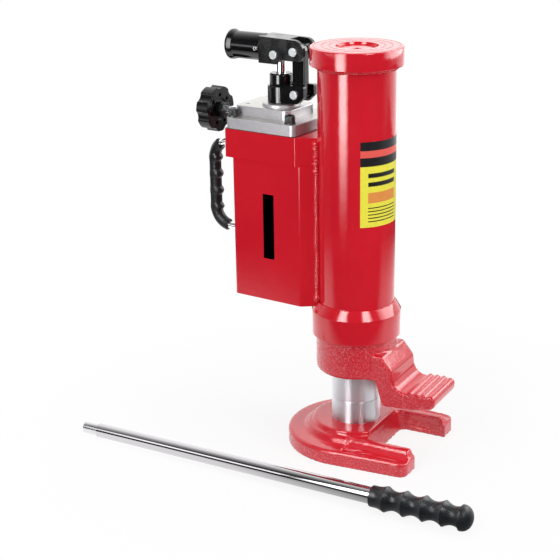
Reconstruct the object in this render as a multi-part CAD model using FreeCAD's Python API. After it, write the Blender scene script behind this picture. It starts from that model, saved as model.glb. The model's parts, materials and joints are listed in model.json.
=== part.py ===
"""Hydraulic toe jack with its loose pump lever.

Frame: millimetres, +Z up, origin on the ram's axis at the underside of the base, +X towards
the lifting toe, the pump and its reservoir towards -X. The jack stands raised by `raise_shown`
above its closed height. The base and the toe are clocked together about the ram's axis.
"""
import FreeCAD, Part
import math
import os

V = FreeCAD.Vector
X_AXIS = V(1, 0, 0)
Y_AXIS = V(0, 1, 0)
Z_AXIS = V(0, 0, 1)
ORIGIN = V(0, 0, 0)

# ---- driving dimensions ------------------------------------------------------------------
raise_shown = 59.5          # how far the body stands above closed
fork_turn = 6.0             # clocking of base and toe from the pump's centre plane, degrees
running = 0.05              # radial clearance of a running fit

# base and ram
base_radius = 81.8
base_rim = 18.0             # height of the outer rim
band_height = 25.0          # height of the inner band round the boss
boss_height = 30.6
boss_radius = 50.6
prong_end = 97.0
prong_outer = 76.5
slot_half = 45.0
slot_root = 40.5
ramp_top = 34.5
ram_radius = 29.0
spigot_radius = 24.0
spigot_bottom = 8.0
seam_height = 58.0
ram_top = 382.0
piston_length = 36.0

# cylinder
tube_radius = 44.5
bore_radius = 35.0
tube_bottom = 155.0
tube_top = 455.3
head_top = 476.0
head_radius = 52.9
gland_radius = 52.3
gland_bottom = 139.0
gland_shoulder = 168.5
gland_top = 179.4

# toe
collar_radius = 47.5
collar_bottom = 93.0
toe_half = 33.0
ridge_pitch = 8.4
ridge_count = 4
first_ridge = 83.0

# reservoir and pump body
block_left = -150.5
block_half = 47.2
block_bottom = 341.0
block_top = 374.2
block_corner = -53.0
tank_left = -142.5
tank_half = 45.8
tank_bottom = 173.5
tank_corner = -48.0
tank_wall = 4.0
weld_point = V(-31.5, -32.5, 0)
plate_x = (-150.0, -54.5)
plate_half = 46.0
plate_top = 387.7
gasket = 0.8
raised_x = (-148.5, -74.0)
raised_half = 29.5
raised_top = 399.0
boss_top = 402.5
screw_x = (-143.8, -65.4)
screw_y = 37.5
screw_head = 6.0
screw_shank = 4.0

# hand pump
pump_x = -102.0
plunger_radius = 6.0
collar_r = 16.0
collar_top = 422.5
ear_end = -62.2
ear_z = (405.0, 425.0)
ear_outer = 14.0
ear_inner = 8.0
nut_radius = 13.5
nut_top = 436.5
pivot_x = -75.0             # both link pins, at rest
lower_pin_z = 415.0
upper_pin_z = 464.0
eye_z = 458.7               # plunger pin
link_half = 5.0
link_round = 8.2
cheek_outer = 14.8
cheek_inner = 9.8
pin_radius = 4.0
pin_head = 2.2
bracket_left = -123.0
bracket_top = 478.6
bracket_bottom = 448.0
cheek_step = 453.4          # lower edge of the cheeks beside the link
bridge_end = -83.5
cheek_round = 13.5
clamp_x = -127.2
socket_mouth = -170.0
socket_radius = 15.8
socket_bore = 9.2

# release valve
stem_z = 384.0
stem_radius = 5.0
wheel_x = (-207.5, -190.5)
wheel_radius = 27.0
lobes = 7
notch_radius = 10.0         # hollows between the lobes
notch_depth = 2.8

# carry handle
rod_radius = 4.2
grip_radius = 7.2
handle_x = -200.5
handle_low = 240.5
handle_high = 346.0
handle_bend = 22.0

# pump lever, lying on the floor
lever_length = 510.0
lever_radius = 9.5
lever_wall = 2.0
tip_radius = 8.0
tip_length = 21.0
grip_start = 392.0
ridge_x = 409.0             # first of the grip's finger ridges
ridge_gap = 22.8
finger_ridges = 4
grip_ridge = 14.7
grip_hollow = 10.6
grip_cuff = 12.0
lever_cap = 12.0            # solid end of the grip beyond the tube
lever_end = V(-283.8, -168.4, 0)
lever_yaw = 3.76


# ---- helpers -----------------------------------------------------------------------------
def box(x0, x1, y0, y1, z0, z1):
    return Part.makeBox(x1 - x0, y1 - y0, z1 - z0, V(x0, y0, z0))


def cyl(radius, z0, z1, x=0.0, y=0.0):
    return Part.makeCylinder(radius, z1 - z0, V(x, y, z0), Z_AXIS)


def cyl_x(radius, x0, x1, y, z):
    return Part.makeCylinder(radius, x1 - x0, V(x0, y, z), X_AXIS)


def cyl_y(radius, y0, y1, x, z):
    return Part.makeCylinder(radius, y1 - y0, V(x, y0, z), Y_AXIS)


def ring(outer, inner, z0, z1, x=0.0, y=0.0):
    return cyl(outer, z0, z1, x, y).cut(cyl(inner, z0 - 1, z1 + 1, x, y))


def turned(profile, x=0.0, y=0.0):
    """A solid of revolution about the vertical line at (x, y), from (radius, height) points."""
    points = [V(r + x, y, z) for r, z in profile]
    face = Part.Face(Part.makePolygon(points + points[:1]))
    return face.revolve(V(x, y, 0), Z_AXIS, 360)


def turned_x(profile, y=0.0, z=0.0):
    """A solid of revolution about the line through (y, z) along X, from (x, radius) points."""
    points = [V(x, y, z + r) for x, r in profile]
    face = Part.Face(Part.makePolygon(points + points[:1]))
    return face.revolve(V(0, y, z), X_AXIS, 360)


def prism(points, z0, z1):
    """A plan outline extruded upwards."""
    corners = [V(x, y, z0) for x, y in points]
    return Part.Face(Part.makePolygon(corners + corners[:1])).extrude(V(0, 0, z1 - z0))


def rounded(shape, radius, wanted):
    """Fillets the edges that `wanted` accepts, or leaves the shape if they can't take it."""
    edges = [e for e in shape.Edges if wanted(e)]
    try:
        result = shape.makeFillet(radius, edges)
    except Exception:
        return shape
    return result if result.isValid() and result.Solids else shape


def bevelled(shape, size, wanted):
    return shape.makeChamfer(size, [e for e in shape.Edges if wanted(e)])


def upright(edge):
    bounds = edge.BoundBox
    return bounds.XLength < 0.01 and bounds.YLength < 0.01 and bounds.ZLength > 1


def level_at(z):
    return lambda edge: abs(edge.BoundBox.ZMin - z) < 0.01 and abs(edge.BoundBox.ZMax - z) < 0.01


def clocked(shape):
    """Turns a base or toe piece about the ram's axis."""
    return shape.rotated(ORIGIN, Z_AXIS, fork_turn)


def save(name, shape):
    if len(shape.Solids) == 1:
        shape = shape.Solids[0]
    shape.exportStep(os.path.join("parts", name + ".step"))


# ---- base and ram ------------------------------------------------------------------------
def horseshoe_wire(radius, outer, end, corner, z, drop=0.056):
    """Plan of the base without its slot: a disc run out into a straight front with round corners."""
    angle = math.atan(drop)
    start = V(radius * math.sin(angle), radius * math.cos(angle), z)
    run = V(end - corner, outer, z)
    tip = V(end, outer - corner, z)
    mid = V(end - corner * (1 - math.sqrt(0.5)), outer - corner * (1 - math.sqrt(0.5)), z)
    flip = lambda p: V(p.x, -p.y, p.z)
    edges = [
        Part.Arc(start, V(-radius, 0, z), flip(start)).toShape(),
        Part.makeLine(flip(start), flip(run)),
        Part.Arc(flip(run), flip(mid), flip(tip)).toShape(),
        Part.makeLine(flip(tip), tip),
        Part.Arc(tip, mid, run).toShape(),
        Part.makeLine(run, start),
    ]
    return Part.Wire(edges)


def slot_cutter():
    """The space between the prongs, with a sloping face at its root under the boss."""
    low, high, far = -1.0, boss_height + 2, prong_end + 20
    slope = (ramp_top - slot_root) / boss_height
    points = [V(slot_root + slope * low, -slot_half, low), V(far, -slot_half, low),
              V(far, -slot_half, high), V(slot_root + slope * high, -slot_half, high)]
    cutter = Part.Face(Part.makePolygon(points + points[:1])).extrude(V(0, 2 * slot_half, 0))
    return rounded(cutter, 6.0, lambda e: e.BoundBox.XMax < slot_root + 1 and e.BoundBox.ZLength > 20)


def base_casting():
    plan = Part.Face(horseshoe_wire(base_radius, prong_outer, prong_end, 11.0, 0))
    rim = rounded(plan.extrude(V(0, 0, base_rim)), 4.0, level_at(base_rim))
    band = Part.makeLoft([horseshoe_wire(64.0, 64.5, 95.5, 8.0, base_rim - 3.5),
                          horseshoe_wire(57.0, 57.0, 91.0, 6.0, band_height)], True, True)
    band = rounded(band, 2.0, level_at(band_height))
    boss = turned([(0, band_height - 4), (boss_radius + 2.2, band_height - 4),
                   (boss_radius, boss_height), (0, boss_height)])
    body = rim.fuse(band).fuse(boss).cut(slot_cutter())
    for side in (-1, 1):
        trough = Part.makeCylinder(16.0, prong_end, V(16, side * 68.0, base_rim + 14.4), X_AXIS)
        panel_y = sorted((side * (slot_half - 1), side * (slot_half + 1.2)))
        panel = box(52, 87, panel_y[0], panel_y[1], 5, 19)
        body = body.cut(trough.common(box(16, 200, -100, 100, 0, 60))).cut(panel)
    body = body.cut(cyl(spigot_radius, spigot_bottom, boss_height + 10)).cut(ram_dowel())
    return clocked(body.removeSplitter())


def ram_dowel():
    """Pin half in the base and half in the ram's thread, which stops it unscrewing."""
    return cyl(3.0, spigot_bottom + 6, boss_height, -spigot_radius, 0)


def hexagon(flat, x=0.0, y=0.0):
    corner = flat / math.cos(math.pi / 6)
    return [(x + corner * math.cos(math.radians(a)), y + corner * math.sin(math.radians(a)))
            for a in range(0, 360, 60)]


def ram_foot():
    """Bright foot of the ram: screwed into the base below, and a spigot for the ram above."""
    foot = turned([(0, spigot_bottom), (spigot_radius, spigot_bottom), (spigot_radius, boss_height),
                   (ram_radius, boss_height), (ram_radius, seam_height - 0.5),
                   (ram_radius - 0.5, seam_height), (14, seam_height), (14, 74), (0, 74)])
    return foot.cut(clocked(ram_dowel()))


def ram():
    shoulder = ram_top - piston_length
    bar = turned([(0, seam_height), (ram_radius - 0.5, seam_height), (ram_radius, seam_height + 0.5),
                  (ram_radius, shoulder), (18, shoulder), (18, ram_top - 2), (0, ram_top - 2)])
    return bar.cut(cyl(14.0, seam_height - 1, 75))


def piston():
    low = ram_top - piston_length
    outer = bore_radius - running
    return turned([(18, low), (outer, low), (outer, low + 10), (30, low + 10), (30, low + 18),
                   (outer, low + 18), (outer, ram_top - 11), (26, ram_top - 11), (18, ram_top - 11)])


def piston_seal():
    low = ram_top - piston_length + 10
    return ring(bore_radius - running, 30, low, low + 8)


def piston_nut():
    blank = prism(hexagon(22.0), ram_top - 11, ram_top)
    return blank.cut(cyl(18.0, ram_top - 12, ram_top - 2))


# ---- cylinder ----------------------------------------------------------------------------
def cylinder_tube():
    return ring(tube_radius, bore_radius, tube_bottom, tube_top)


def head_cap():
    """Flat load head with turned rings, closed by a spigot in the tube's bore."""
    plug = tube_top - 10
    cap = turned([(0, plug), (bore_radius, plug), (bore_radius, tube_top), (head_radius - 0.8, tube_top),
                  (head_radius, tube_top + 0.8), (head_radius, head_top - 2.2),
                  (head_radius - 2.2, head_top), (0, head_top)])
    for share in (0.923, 0.75, 0.592):
        radius = share * head_radius
        cap = cap.cut(turned([(radius - 0.7, head_top + 0.1), (radius + 0.7, head_top + 0.1),
                              (radius, head_top - 0.8)]))
    dish = 0.458 * head_radius
    cap = cap.cut(turned([(0, head_top - 3), (dish - 0.8, head_top - 3), (dish, head_top + 0.1),
                          (0, head_top + 0.1)]))
    return cap.cut(turned([(0, head_top - 5.5), (1.6, head_top - 3.2), (1.6, head_top - 2),
                           (0, head_top - 2)]))


def head_weld():
    return turned([(tube_radius, tube_top - 4.5), (tube_radius + 1.6, tube_top - 3.6),
                   (tube_radius + 3.2, tube_top - 1.6), (tube_radius + 4.2, tube_top),
                   (tube_radius, tube_top)])


def gland_collar():
    return turned([(bore_radius, gland_bottom), (gland_radius - 0.8, gland_bottom),
                   (gland_radius, gland_bottom + 0.8), (gland_radius, gland_shoulder),
                   (tube_radius + 1.5, gland_top), (tube_radius, gland_top), (tube_radius, tube_bottom),
                   (bore_radius, tube_bottom)])


def guide_bush():
    return ring(bore_radius, ram_radius + running, 152, 178)


def rod_seal():
    return ring(bore_radius, ram_radius + running, gland_bottom + 4, 152)


def seal_retainer():
    return ring(bore_radius, ram_radius + 0.6, gland_bottom, gland_bottom + 4)


def rod_wiper():
    return ring(34.0, ram_radius + running, collar_bottom + 1, collar_bottom + 7)


# ---- toe ---------------------------------------------------------------------------------
def toe_profile():
    """Side view of the arm: sloped shoulder, hollow sweep, serrated lip, and a leaning back."""
    top, lip = 125.2, 84.8
    edges = []

    def line(a, b):
        edges.append(Part.makeLine(V(a[0], 0, a[1]), V(b[0], 0, b[1])))

    def arc(a, m, b):
        edges.append(Part.Arc(V(a[0], 0, a[1]), V(m[0], 0, m[1]), V(b[0], 0, b[1])).toShape())

    line((20, top), (45.0, top))
    arc((45.0, top), (47.6, 124.4), (49.2, 122.6))
    line((49.2, 122.6), (58.5, 111.2))
    arc((58.5, 111.2), (60.3, 108.4), (60.8, 105.0))
    line((60.8, 105.0), (61.6, 99.0))
    arc((61.6, 99.0), (66.5, 89.2), (77.0, lip))
    x = first_ridge - ridge_pitch / 2 + 1.0
    line((77.0, lip), (x, lip))
    for step in range(ridge_count - 1):
        crest = first_ridge + step * ridge_pitch
        line((x, lip), (crest - 1.4, lip + 2.6))
        arc((crest - 1.4, lip + 2.6), (crest, lip + 3.2), (crest + 1.4, lip + 2.6))
        x = crest + ridge_pitch / 2
        line((crest + 1.4, lip + 2.6), (x, lip))
    crest = first_ridge + (ridge_count - 1) * ridge_pitch
    line((x, lip), (crest - 1.4, lip + 2.2))
    arc((crest - 1.4, lip + 2.2), (crest + 3.6, lip + 0.8), (114.0, lip - 3.6))
    line((114.0, lip - 3.6), (113.2, 75.4))
    arc((113.2, 75.4), (110.6, 71.4), (106.0, 69.2))
    line((106.0, 69.2), (84.0, 64.4))
    line((84.0, 64.4), (52.0, collar_bottom - 29.5))
    arc((52.0, collar_bottom - 29.5), (48.6, 64.4), (46.4, 67.2))
    line((46.4, 67.2), (39.0, collar_bottom))
    line((39.0, collar_bottom), (20, collar_bottom))
    line((20, collar_bottom), (20, top))
    return Part.Face(Part.Wire(edges))


def toe_casting():
    arm = toe_profile().extrude(V(0, 2 * toe_half, 0)).translated(V(0, -toe_half, 0))
    arm = rounded(arm, 2.6, lambda e: abs(abs(e.CenterOfMass.y) - toe_half) < 0.01
                  and e.CenterOfMass.x > 46.2 and not 78 < e.CenterOfMass.x < 107)
    low = collar_bottom
    collar = turned([(0, low), (collar_radius - 7, low), (collar_radius - 2.4, low + 1.6),
                     (collar_radius - 0.4, low + 4.6), (collar_radius, low + 8),
                     (collar_radius, gland_bottom), (0, gland_bottom)])
    body = collar.fuse(arm).cut(cyl(ram_radius + 1.2, 0, 200)).cut(cyl(34.0, low - 1, low + 7))
    return clocked(body.removeSplitter())


# ---- reservoir ---------------------------------------------------------------------------
def saddle_outline(left, half, corner, inset=0.0):
    """Plan of a box whose two sides turn in to meet the tube."""
    side = [(left + inset, -half + inset), (corner, -half + inset),
            (weld_point.x, weld_point.y + inset), (0, weld_point.y + inset)]
    return side + [(x, -y) for x, y in reversed(side)]


def reservoir_tank():
    shell = prism(saddle_outline(tank_left, tank_half, tank_corner), tank_bottom, block_bottom)
    shell = rounded(shell, 5.0, lambda e: upright(e) and e.CenterOfMass.x < tank_corner + 1)
    shell = shell.cut(cyl(tube_radius, 0, 500)).cut(gland_collar())
    room = prism(saddle_outline(tank_left, tank_half, tank_corner, tank_wall), tank_bottom + tank_wall,
                 block_bottom + 1).cut(cyl(tube_radius + tank_wall, 0, 500))
    tank = shell.cut(room)
    leg = cyl_x(rod_radius, tank_left - 1, tank_left + tank_wall + 1, 0, handle_low)
    return tank.cut(leg)


def valve_block():
    block = prism(saddle_outline(block_left, block_half, block_corner), block_bottom, block_top)
    block = rounded(block, 2.0, upright)
    block = block.cut(cyl(tube_radius, 0, 500))
    block = block.cut(cyl(12.0, block_bottom + 8, block_top + 1, pump_x))
    block = block.cut(cyl(4.0, block_bottom - 1, block_bottom + 9, pump_x))
    block = block.cut(cyl_x(2.5, pump_x, 0, 0, block_bottom + 14))
    block = block.cut(cyl_x(rod_radius, block_left - 1, block_left + 12, 0, handle_high))
    for x, y in screw_places():
        block = block.cut(cyl(screw_shank, block_top - 18, block_top + 1, x, y))
    return block


def reservoir_welds():
    """Two upright beads where the box sides meet the tube."""
    beads = []
    for side in (-1, 1):
        bead = cyl(3.6, gland_top, block_top - 3, weld_point.x - 1.2, side * (abs(weld_point.y) + 0.6))
        bead = bead.cut(cyl(tube_radius, 0, 500)).cut(reservoir_tank()).cut(valve_block())
        beads.append(max(bead.Solids, key=lambda solid: solid.Volume))
    return Part.Compound(beads)


def screw_places():
    return [(x, y) for x in screw_x for y in (-screw_y, screw_y)]


def pump_gasket():
    sheet = box(plate_x[0], plate_x[1], -plate_half, plate_half, block_top, block_top + gasket)
    sheet = rounded(sheet, 6.0, upright).cut(cyl(12.0, 300, 400, pump_x))
    for x, y in screw_places():
        sheet = sheet.cut(cyl(4.5, 300, 400, x, y))
    return sheet


def pump_body():
    """Aluminium casting: screwed flange, raised valve housing and a turned boss for the barrel."""
    flange = box(plate_x[0], plate_x[1], -plate_half, plate_half, block_top + gasket, plate_top)
    flange = rounded(flange, 6.0, upright)
    flange = rounded(flange, 0.8, level_at(plate_top))
    raised = box(raised_x[0], raised_x[1], -raised_half, raised_half, plate_top - 2, raised_top)
    raised = rounded(raised, 8.0, upright)
    raised = rounded(raised, 1.2, level_at(raised_top))
    boss = turned([(0, plate_top), (23.5, plate_top), (22.0, boss_top - 1), (21.0, boss_top),
                   (0, boss_top)], pump_x)
    body = flange.fuse(raised).fuse(boss)
    body = body.cut(cyl(12.0, 300, 500, pump_x))
    body = body.cut(cyl_x(stem_radius + running, plate_x[0] - 1, -126, 0, stem_z))
    body = body.cut(cyl_x(3.0, -127, pump_x, 0, stem_z))
    body = body.cut(cyl(2.6, raised_top - 5, raised_top + 1, -138.5, -15.5))
    for x, y in screw_places():
        body = body.cut(cyl(4.5, 300, plate_top + 20, x, y))
    return body.removeSplitter()


def cap_screws():
    """Four socket-head cap screws."""
    screws = []
    for x, y in screw_places():
        low = plate_top + 1.6
        head = bevelled(cyl(screw_head, low, low + 8, x, y), 0.6, level_at(low + 8))
        head = head.cut(prism(hexagon(3.0, x, y), low + 4, low + 9))
        screws.append(head.fuse(cyl(screw_shank, block_top - 16, low, x, y)))
    return Part.Compound(screws)


def lock_washers():
    return Part.Compound([ring(6.8, 4.2, plate_top, plate_top + 1.6, x, y) for x, y in screw_places()])


def vent_screw():
    screw = cyl(2.6, raised_top - 5, raised_top, -138.5, -15.5)
    return screw.cut(box(-141.5, -135.5, -15.9, -15.1, raised_top - 0.9, raised_top + 1))


# ---- hand pump ---------------------------------------------------------------------------
def pump_barrel():
    barrel = cyl(12.0, block_bottom + 8, collar_top, pump_x)
    barrel = barrel.cut(cyl(plunger_radius + running, block_bottom + 24, collar_top + 1, pump_x))
    barrel = barrel.cut(cyl(3.5, block_bottom + 7, block_bottom + 25, pump_x))
    return barrel.cut(cyl_x(2.5, pump_x, pump_x + 13, 0, block_bottom + 14))


def suction_ball():
    return Part.makeSphere(3.4, V(pump_x, 0, block_bottom + 13.6))


def suction_strainer():
    """Pick-up pipe with a gauze cup, reaching down into the oil."""
    pipe = ring(4.0, 2.5, 200, block_bottom + 8, pump_x)
    cup = ring(9.0, 7.5, 184, 204, pump_x).fuse(ring(9.0, 4.0, 202, 204, pump_x))
    return pipe.fuse(cup).fuse(cyl(9.0, 184, 185.5, pump_x))


def pump_collar():
    """Black fork clamped round the barrel; its two ears carry the link's lower pin."""
    collar = turned([(12, boss_top), (collar_r - 0.8, boss_top), (collar_r, boss_top + 0.8),
                     (collar_r, collar_top - 0.8), (collar_r - 0.8, collar_top),
                     (12, collar_top)], pump_x)
    ears = box(pump_x, ear_end, -ear_outer, ear_outer, *ear_z)
    outer = [e for e in ears.Edges if abs(e.CenterOfMass.x - ear_end) < 0.01]
    ears = ears.makeChamfer(8.0, [e for e in outer if level_at(ear_z[0])(e)])
    ears = rounded(ears, 1.5, lambda e: level_at(ear_z[1])(e) and e.CenterOfMass.x > ear_end - 0.01)
    gap = box(pump_x + 15.0, 0, -ear_inner, ear_inner, 300, 480)
    nut_room = cyl(nut_radius + 0.4, collar_top, 500, pump_x)
    ears = ears.cut(gap).cut(cyl(12.0, 300, 500, pump_x)).cut(nut_room)
    fork = collar.fuse(ears)
    return fork.cut(cyl_y(pin_radius, -50, 50, pivot_x, lower_pin_z)).removeSplitter()


def gland_nut():
    inner = plunger_radius + running
    nut = turned([(inner, collar_top), (nut_radius - 0.6, collar_top), (nut_radius, collar_top + 0.6),
                  (nut_radius, nut_top - 1.4), (nut_radius - 1.4, nut_top), (inner, nut_top)], pump_x)
    return nut.cut(ring(9.0, 5.0, collar_top - 1, collar_top + 6, pump_x))


def plunger_seal():
    return ring(9.0, plunger_radius + running, collar_top, collar_top + 6, pump_x)


def plunger():
    """Chromed plunger with a slotted eye, which lets the pin swing on its arc."""
    rod = cyl(plunger_radius, block_bottom + 40, eye_z - 4, pump_x)
    head = box(pump_x - 10, pump_x + 10, -7, 7, eye_z - 8, eye_z + 7)
    head = rounded(head, 5.0, lambda e: e.BoundBox.YLength > 13)
    half, tall = pin_radius + 2.9, pin_radius + 0.45
    slot = box(pump_x - half + tall, pump_x + half - tall, -9, 9, eye_z - tall, eye_z + tall)
    for x in (pump_x - half + tall, pump_x + half - tall):
        slot = slot.fuse(cyl_y(tall, -9, 9, x, eye_z))
    return rod.fuse(head).cut(slot)


def link():
    """Strap between the fork and the socket bracket."""
    half, wide = link_half, link_round
    strap = box(pivot_x - wide, pivot_x + wide, -half, half, lower_pin_z, upper_pin_z)
    for z in (lower_pin_z, upper_pin_z):
        strap = strap.fuse(cyl_y(wide, -half, half, pivot_x, z))
    strap = strap.removeSplitter()
    for z in (lower_pin_z, upper_pin_z):
        strap = strap.cut(cyl_y(pin_radius + running, -20, 20, pivot_x, z))
    return strap


def pin(x, z, length):
    """Headed pin along Y with a clip groove at its far end."""
    end = -length - pin_head
    head = bevelled(cyl_y(5.2, end, -length, x, z), 0.5, lambda e: abs(e.CenterOfMass.y - end) < 0.01)
    shank = cyl_y(pin_radius, -length, length + 3.4, x, z)
    groove = cyl_y(pin_radius + 1, length + 0.3, length + 1.5, x, z).cut(
        cyl_y(pin_radius - 0.8, length, length + 2, x, z))
    return head.fuse(shank).cut(groove)


def clip(x, z, length):
    """Retaining ring in a pin's groove, open on one side."""
    clip_ring = cyl_y(pin_radius + 2.2, length + 0.35, length + 1.45, x, z)
    clip_ring = clip_ring.cut(cyl_y(pin_radius - 0.8, 0, 60, x, z))
    return clip_ring.cut(box(x - 1.8, x + 1.8, 0, 60, z, z + 20))


def link_spacers(z, room):
    """Washers each side of the link, on one of its pins, in the space up to `room` from the middle."""
    rings = []
    for low, high in ((0.15 - room, -0.15 - link_half), (link_half + 0.15, room - 0.15)):
        spacer = cyl_y(7.0, low, high, pivot_x, z)
        rings.append(spacer.cut(cyl_y(pin_radius + running, -30, 30, pivot_x, z)))
    return Part.Compound(rings)


# ---- lever socket ------------------------------------------------------------------------
def socket_tube():
    mouth = socket_mouth
    tube = turned_x([(bracket_left, socket_bore), (bracket_left, socket_radius),
                     (mouth + 9, socket_radius), (mouth + 4, 16.4), (mouth + 2.5, 17.4),
                     (mouth + 1, 17.6), (mouth, 16.8), (mouth, socket_bore + 1),
                     (mouth + 1, socket_bore)], 0, upper_pin_z)
    return tube.cut(cyl_y(2.5, -30, 0, clamp_x, upper_pin_z))


def socket_bracket():
    """Bent channel welded to the socket: two cheeks, a bridge on top and a closed web."""
    x0, z1 = bracket_left, bracket_top
    nose = cyl_y(cheek_round, -cheek_outer, cheek_outer, pivot_x, upper_pin_z)
    nose = nose.cut(box(-200, 0, -50, 50, 0, cheek_step))
    flank = [V(x0, 0, bracket_bottom), V(-99, 0, bracket_bottom), V(-95.5, 0, cheek_step),
             V(pivot_x, 0, cheek_step), V(pivot_x, 0, upper_pin_z + cheek_round), V(x0, 0, z1)]
    body = Part.Face(Part.makePolygon(flank + flank[:1])).extrude(V(0, 2 * cheek_outer, 0))
    body = body.translated(V(0, -cheek_outer, 0)).fuse(nose).removeSplitter()
    inner = box(x0 + 7, 0, -cheek_inner, cheek_inner, 300, z1 - 4.0)
    open_top = box(bridge_end, 0, -cheek_inner, cheek_inner, 300, 600)
    body = body.cut(inner).cut(open_top)
    for x, z in ((pivot_x, upper_pin_z), (pump_x, eye_z)):
        body = body.cut(cyl_y(pin_radius, -50, 50, x, z))
    return body


def clamp_screw():
    x, z = clamp_x, upper_pin_z
    screw = cyl_y(2.5, -socket_radius - 0.6, -socket_bore - 0.3, x, z)
    return screw.cut(cyl_y(1.3, -socket_radius - 1, -socket_radius + 2, x, z))


# ---- release valve -----------------------------------------------------------------------
def valve_stem():
    tip = Part.makeCone(2.0, stem_radius, 3.0, V(-127.5, 0, stem_z), V(-1, 0, 0))
    shank = cyl_x(stem_radius, wheel_x[1] - 12, -130.5, 0, stem_z)
    return tip.fuse(shank)


def valve_ball():
    return Part.makeSphere(2.8, V(-124.2, 0, stem_z))


def valve_gland():
    seat, flat = plate_x[0], 8.2
    nut = turned_x([(seat - 9, stem_radius + 0.3), (seat - 9, 8.2), (seat - 8.2, 9.0), (seat, 9.0),
                    (seat, stem_radius + 0.3)], 0, stem_z)
    return nut.common(box(seat - 20, seat, -20, 20, stem_z - flat, stem_z + flat))


def notch_angles():
    """Angles from +Y of the hollows between the lobes; one lobe points straight down."""
    return [2 * math.pi * (k + 0.5) / lobes - math.pi / 2 for k in range(lobes)]


def handwheel():
    """Moulded lobed knob with a blind core hole by every hollow and a hub behind."""
    x0, x1 = wheel_x
    wheel = cyl_x(wheel_radius, x0, x1, 0, stem_z)
    spread = wheel_radius + notch_radius - notch_depth
    for a in notch_angles():
        y, z = spread * math.cos(a), stem_z + spread * math.sin(a)
        wheel = wheel.cut(cyl_x(notch_radius, x0 - 1, x1 + 1, y, z))
    wheel = rounded(wheel, 2.0, lambda e: abs(e.BoundBox.XMin - x0) < 0.01 and e.BoundBox.XLength < 0.01)
    for a in notch_angles():
        y, z = 17.0 * math.cos(a), stem_z + 17.0 * math.sin(a)
        wheel = wheel.cut(cyl_x(2.3, x1 - 9, x1 + 1, y, z))
    wheel = wheel.cut(cyl_x(13.0, x1 - 1.5, x1 + 1, 0, stem_z))
    wheel = wheel.fuse(cyl_x(9.5, x1 - 2, x1 + 4, 0, stem_z)).removeSplitter()
    return wheel.cut(cyl_x(stem_radius, x1 - 12, x1 + 6, 0, stem_z))


def stem_locknut():
    nut = Part.Face(Part.makePolygon([V(wheel_x[1] + 4, y, stem_z + z) for y, z in
                                      hexagon(8.0) + hexagon(8.0)[:1]])).extrude(V(5, 0, 0))
    return nut.cut(cyl_x(stem_radius, wheel_x[1], wheel_x[1] + 12, 0, stem_z))


# ---- carry handle ------------------------------------------------------------------------
def handle_path(start, end):
    """Centre line of the bent rod, from the block's face round two bends to the tank."""
    b, s = handle_bend, handle_bend * (1 - math.sqrt(0.5))
    x, low, high = handle_x, handle_low, handle_high
    return Part.Wire([
        Part.makeLine(V(start, 0, high), V(x + b, 0, high)),
        Part.Arc(V(x + b, 0, high), V(x + s, 0, high - s), V(x, 0, high - b)).toShape(),
        Part.makeLine(V(x, 0, high - b), V(x, 0, low + b)),
        Part.Arc(V(x, 0, low + b), V(x + s, 0, low + s), V(x + b, 0, low)).toShape(),
        Part.makeLine(V(x + b, 0, low), V(end, 0, low)),
    ])


def carry_handle():
    profile = Part.Wire([Part.makeCircle(rod_radius, V(block_left + 12, 0, handle_high), X_AXIS)])
    return handle_path(block_left + 12, tank_left + tank_wall).makePipeShell([profile], True, False)


def carry_grip():
    """Moulded grip over the bent rod, with finger swells on its inner side."""
    start, end = handle_x + handle_bend + 1, handle_x + handle_bend - 3
    profile = Part.Wire([Part.makeCircle(grip_radius, V(start, 0, handle_high), X_AXIS)])
    grip = handle_path(start, end).makePipeShell([profile], True, False)
    pitch = 21.0
    middle = (handle_low + handle_high) / 2
    for k in range(4):
        grip = grip.fuse(swell(middle + (k - 1.5) * pitch))
    return grip.cut(carry_handle())


def swell(z):
    ball = Part.makeSphere(7.4, V(0, 0, 0))
    matrix = FreeCAD.Matrix()
    matrix.scale(0.9, 0.9, 1.25)
    return ball.transformGeometry(matrix).translated(V(handle_x + 3.6, 0, z))


# ---- pump lever --------------------------------------------------------------------------
def lever_placed(shape):
    """Lays a piece made along +X from the tip onto the floor, propped on tube end and first ridge."""
    rise = (grip_ridge - lever_radius) / (ridge_x - tip_length)
    shape = shape.rotated(ORIGIN, Y_AXIS, -math.degrees(math.asin(rise)))
    shape = shape.rotated(ORIGIN, Z_AXIS, lever_yaw)
    return shape.translated(lever_end + V(0, 0, lever_radius - rise * tip_length + 0.02))


def lever_tube():
    start, end, inner = tip_length, lever_length - lever_cap, lever_radius - lever_wall
    return lever_placed(turned_x([(start, inner), (start, lever_radius - 0.6),
                                  (start + 0.6, lever_radius), (end, lever_radius), (end, inner)]))


def lever_tip():
    inner, plug = lever_radius - lever_wall, tip_length + 20
    return lever_placed(turned_x([(0, 0), (0, tip_radius - 0.8), (0.8, tip_radius),
                                  (tip_length, tip_radius), (tip_length, inner), (plug, inner),
                                  (plug, 0)]))


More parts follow.
